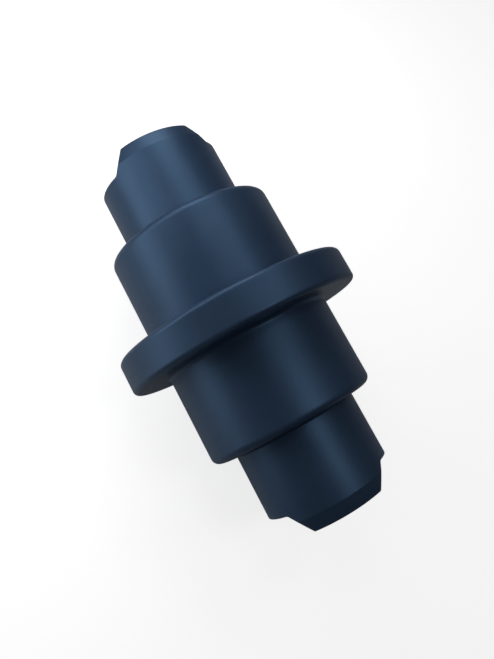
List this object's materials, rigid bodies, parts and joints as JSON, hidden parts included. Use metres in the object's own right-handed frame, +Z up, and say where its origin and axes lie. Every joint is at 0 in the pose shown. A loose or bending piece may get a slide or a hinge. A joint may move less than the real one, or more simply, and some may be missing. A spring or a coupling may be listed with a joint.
{
  "type": "track roller",
  "caption": "Bottom track roller with a central flange; the shell turns on a fixed shaft held by pinned end collars with tapered tongues.",
  "frame": {"origin": "centre of the roller, on its axis, in the middle plane of the flange", "axes": "+Y along the roller's axis towards the collar whose thread leads to the oil plug, +X square to the mean of the two collars' tongue sides, +Z up with the axis level"},
  "size_m": [0.12, 0.1938, 0.12],
  "materials": {
    "shell_paint": "satin blue-black paint over forged steel",
    "collar_paint": "satin blue-black paint over cast steel",
    "shaft_steel": "ground and hardened steel, oiled",
    "pin_steel": "hardened steel pin, dark",
    "plug_steel": "blackened steel plug",
    "bush_bronze": "turned bronze",
    "washer_bronze": "turned bronze",
    "seal_iron": "hard white iron, lapped on its sealing face",
    "toric_rubber": "black nitrile rubber",
    "o_ring_rubber": "black nitrile rubber"
  },
  "bodies": {
    "axle": {"shaft": "shaft_steel", "collar_left": "collar_paint", "collar_right": "collar_paint", "collar_pin_left": "pin_steel", "collar_pin_right": "pin_steel", "collar_seal_ring_left": "seal_iron", "collar_seal_ring_right": "seal_iron", "collar_toric_left": "toric_rubber", "collar_toric_right": "toric_rubber", "shaft_o_ring_left": "o_ring_rubber", "shaft_o_ring_right": "o_ring_rubber", "oil_plug": "plug_steel"},
    "roller": {"roller_shell": "shell_paint", "bush_left": "bush_bronze", "bush_right": "bush_bronze", "thrust_washer_left": "washer_bronze", "thrust_washer_right": "washer_bronze", "roller_seal_ring_left": "seal_iron", "roller_seal_ring_right": "seal_iron", "roller_toric_left": "toric_rubber", "roller_toric_right": "toric_rubber"}
  },
  "joints": [
    {"name": "roller_spin", "type": "hinge", "parent": "axle", "child": "roller", "pos_m": [0, 0, 0], "axis": [0, 1, 0], "continuous": true}
  ]
}
